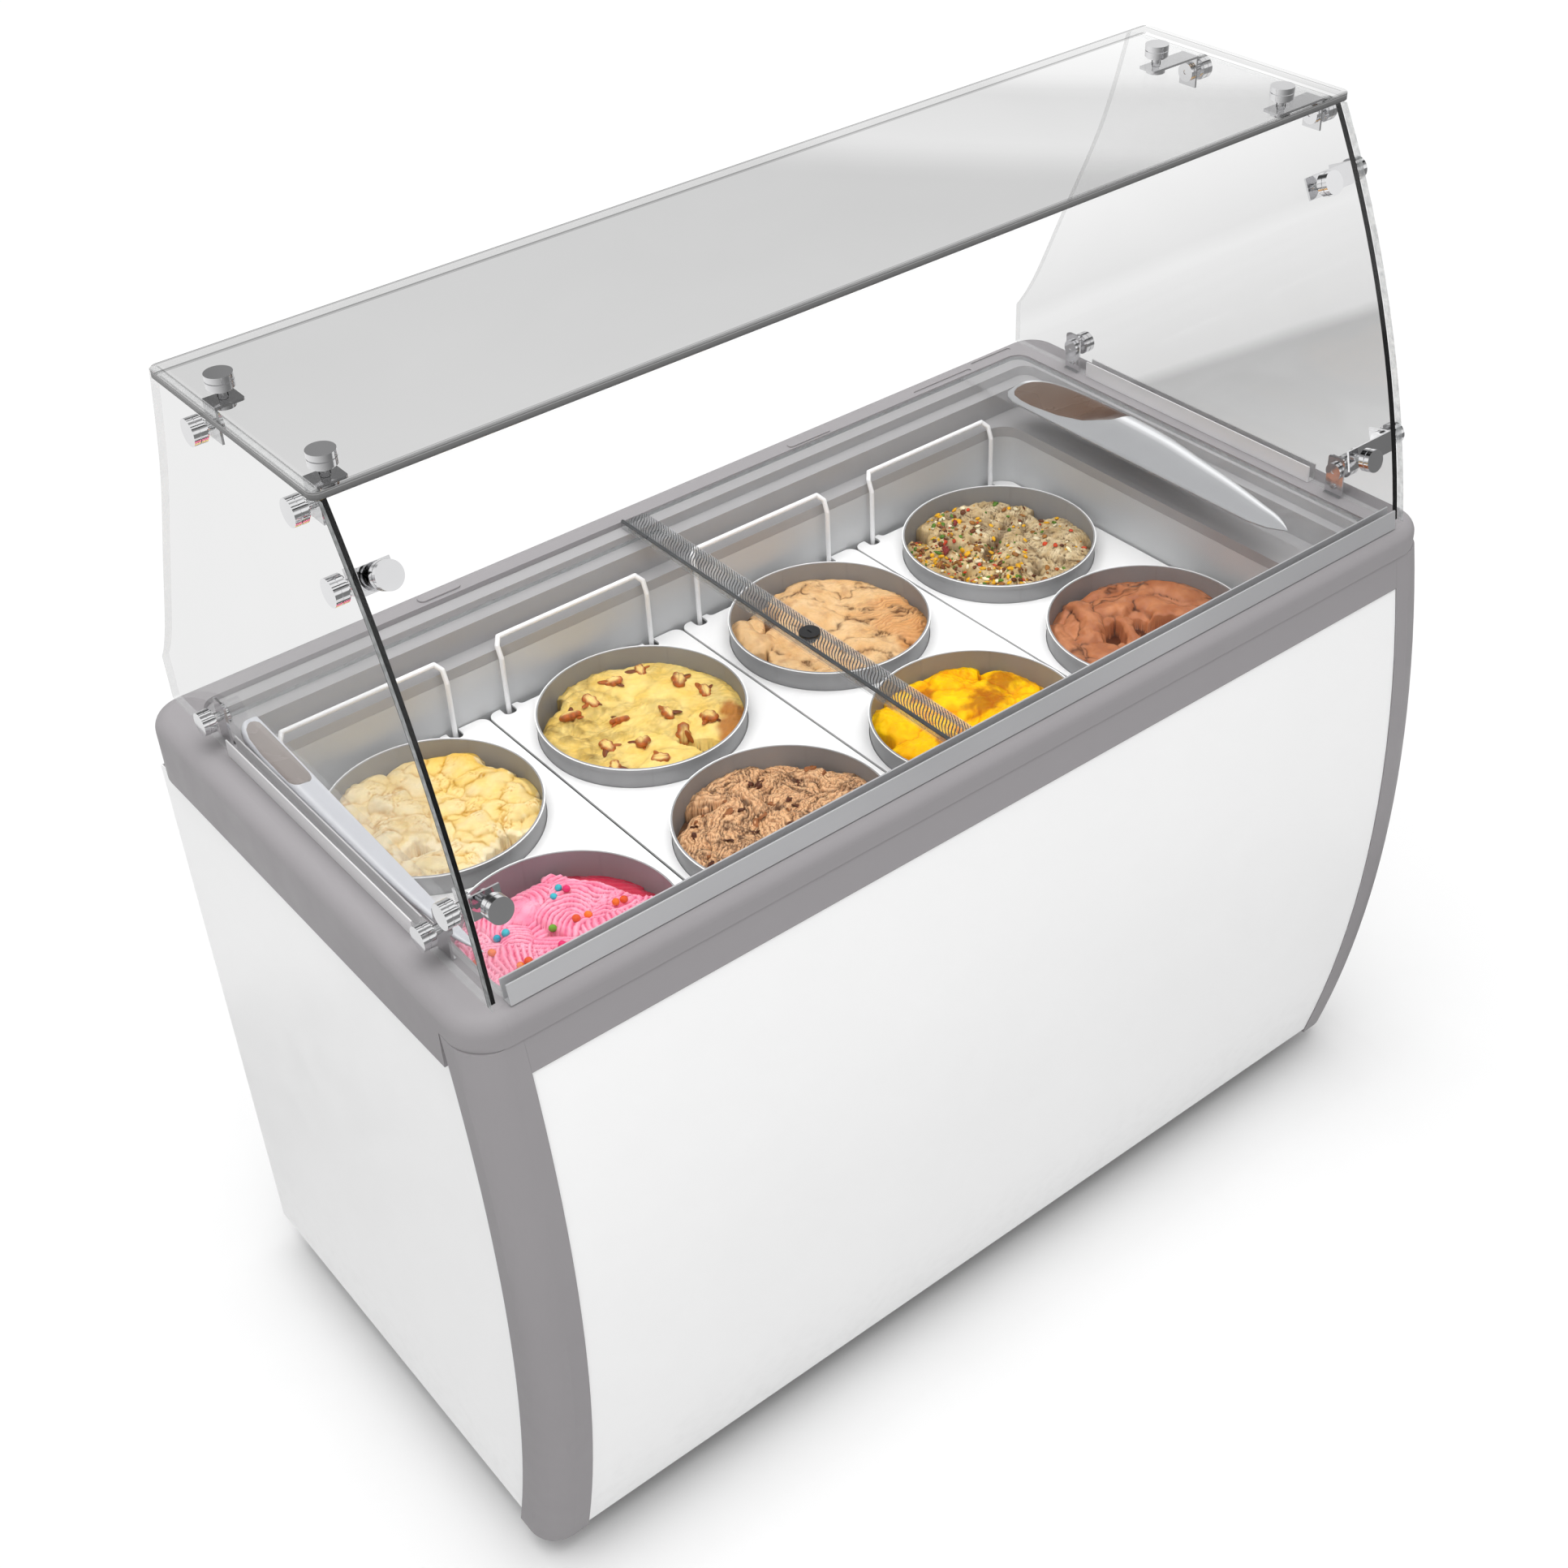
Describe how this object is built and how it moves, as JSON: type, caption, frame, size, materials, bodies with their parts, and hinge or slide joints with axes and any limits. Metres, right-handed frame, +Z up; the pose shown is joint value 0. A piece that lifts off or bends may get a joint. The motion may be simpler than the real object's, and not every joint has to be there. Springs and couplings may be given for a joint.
{
  "type": "ice cream dipping cabinet",
  "caption": "Free-standing ice cream dipping cabinet with sliding glass lids, tubs in a chilled tank and a curved glass guard with a top shelf.",
  "frame": {"origin": "on the floor under the middle of the cabinet's bounding box", "axes": "+X to the customer's right along the cabinet, +Y towards the server side (back), +Z up"},
  "size_m": [1.304, 0.69, 1.3285],
  "materials": {
    "white_panel": "smooth white powder coat",
    "grey_plastic": "fine satin grey moulding",
    "light_grey_plastic": "satin light grey moulding",
    "tank_liner": "stucco satin liner",
    "foam": "rigid foam",
    "copper": "drawn tube",
    "galvanised": "galvanised sheet",
    "black_enamel": "gloss black enamel",
    "black_rubber": "matt rubber",
    "fin_aluminium": "finned block",
    "motor_steel": "grey enamel",
    "black_plastic": "fine black moulding",
    "clear_glass": "polished float glass",
    "shelf_glass": "grey tinted float glass",
    "lid_glass": "polished tempered glass",
    "channel_metal": "satin anodised",
    "chrome": "polished chrome",
    "steel_screw": "zinc plated",
    "tub_grey": "smooth grey tub",
    "ice_cream": "frozen ice cream, soft sheen",
    "plate_white": "smooth white tub plate",
    "rack_white": "white coated wire",
    "handle_silver": "silver grey moulding with a brown recess",
    "stile_grey": "translucent grey ribbed strip",
    "lock_black": "black lock face",
    "caster_steel": "zinc plated",
    "caster_tyre": "solid rubber tread"
  },
  "bodies": {
    "cabinet": {"front_panel": "white_panel", "side_panel_left": "white_panel", "side_panel_right": "white_panel", "rear_panel": "white_panel", "corner_post_left": "grey_plastic", "corner_post_right": "grey_plastic", "front_band": "grey_plastic", "top_collar": "grey_plastic", "lid_track_frame": "light_grey_plastic", "inner_tank": "tank_liner", "foam_insulation": "foam", "evaporator_coil": "copper", "base_tray": "galvanised", "compressor": "black_enamel", "compressor_grommets": "black_rubber", "condenser_coil": "fin_aluminium", "fan_motor": "motor_steel", "fan_shroud": "galvanised", "filter_drier": "copper", "refrigerant_lines": "copper", "control_panel": "black_plastic", "service_grille": "white_panel", "power_cord": "black_rubber", "drain_tube": "light_grey_plastic", "rear_screws": "steel_screw", "caster_plates": "caster_steel", "shelf_glass": "shelf_glass", "side_glass_left": "clear_glass", "side_glass_right": "clear_glass", "front_glass": "clear_glass", "front_channel": "channel_metal", "side_channels": "channel_metal", "base_brackets": "chrome", "clamp_brackets": "chrome", "clamp_knobs": "chrome", "tub_plates": "plate_white", "tub_racks": "rack_white", "tubs": "tub_grey", "ice_cream": "ice_cream"},
    "left_lid": {"lid_left_glass": "lid_glass", "lid_left_handle": "handle_silver", "lid_left_seal": "black_rubber"},
    "right_lid": {"lid_right_glass": "lid_glass", "lid_right_handle": "handle_silver", "lid_right_stile": "stile_grey"},
    "lid_lock": {"lock_cylinder": "lock_black"},
    "thermostat": {"thermostat_knob": "black_plastic"},
    "switch_rocker": {"power_switch": "black_plastic"},
    "plug": {"drain_plug": "black_rubber"},
    "fan": {"fan_blade": "black_plastic"},
    "swivel_front_left": {"caster_fork_front_left": "caster_steel"},
    "wheel_front_left": {"caster_wheel_front_left": "caster_tyre"},
    "swivel_front_right": {"caster_fork_front_right": "caster_steel"},
    "wheel_front_right": {"caster_wheel_front_right": "caster_tyre"},
    "swivel_rear_left": {"caster_fork_rear_left": "caster_steel"},
    "wheel_rear_left": {"caster_wheel_rear_left": "caster_tyre"},
    "swivel_rear_right": {"caster_fork_rear_right": "caster_steel"},
    "wheel_rear_right": {"caster_wheel_rear_right": "caster_tyre"}
  },
  "joints": [
    {"name": "left_lid_slide", "type": "slide", "parent": "cabinet", "child": "left_lid", "axis": [1, 0, 0], "range_m": [0, 0.54]},
    {"name": "right_lid_slide", "type": "slide", "parent": "cabinet", "child": "right_lid", "axis": [-1, 0, 0], "range_m": [0, 0.534]},
    {"name": "lid_lock_turn", "type": "hinge", "parent": "right_lid", "child": "lid_lock", "pos_m": [-0.0355, -0.026, 0.852], "axis": [0, 0, 1], "range_deg": [0, 90]},
    {"name": "thermostat_turn", "type": "hinge", "parent": "cabinet", "child": "thermostat", "pos_m": [-0.048, 0.315, 0.195], "axis": [0, 1, 0], "range_deg": [0, 270]},
    {"name": "power_switch_rock", "type": "hinge", "parent": "cabinet", "child": "switch_rocker", "pos_m": [0.016, 0.303, 0.195], "axis": [1, 0, 0], "range_deg": [0, 14]},
    {"name": "drain_plug_lift", "type": "slide", "parent": "cabinet", "child": "plug", "axis": [0, 0, 1], "range_m": [0, 0.03]},
    {"name": "fan_spin", "type": "hinge", "parent": "cabinet", "child": "fan", "pos_m": [0.3, 0.236, 0.201], "axis": [0, 1, 0], "continuous": true},
    {"name": "swivel_turn_front_left", "type": "hinge", "parent": "cabinet", "child": "swivel_front_left", "pos_m": [-0.56, -0.195, 0.06], "axis": [0, 0, 1], "continuous": true},
    {"name": "wheel_spin_front_left", "type": "hinge", "parent": "swivel_front_left", "child": "wheel_front_left", "pos_m": [-0.578, -0.195, 0.025], "axis": [0, 1, 0], "continuous": true},
    {"name": "swivel_turn_front_right", "type": "hinge", "parent": "cabinet", "child": "swivel_front_right", "pos_m": [0.56, -0.195, 0.06], "axis": [0, 0, 1], "continuous": true},
    {"name": "wheel_spin_front_right", "type": "hinge", "parent": "swivel_front_right", "child": "wheel_front_right", "pos_m": [0.542, -0.195, 0.025], "axis": [0, 1, 0], "continuous": true},
    {"name": "swivel_turn_rear_left", "type": "hinge", "parent": "cabinet", "child": "swivel_rear_left", "pos_m": [-0.56, 0.255, 0.06], "axis": [0, 0, 1], "continuous": true},
    {"name": "wheel_spin_rear_left", "type": "hinge", "parent": "swivel_rear_left", "child": "wheel_rear_left", "pos_m": [-0.578, 0.255, 0.025], "axis": [0, 1, 0], "continuous": true},
    {"name": "swivel_turn_rear_right", "type": "hinge", "parent": "cabinet", "child": "swivel_rear_right", "pos_m": [0.56, 0.255, 0.06], "axis": [0, 0, 1], "continuous": true},
    {"name": "wheel_spin_rear_right", "type": "hinge", "parent": "swivel_rear_right", "child": "wheel_rear_right", "pos_m": [0.542, 0.255, 0.025], "axis": [0, 1, 0], "continuous": true}
  ]
}
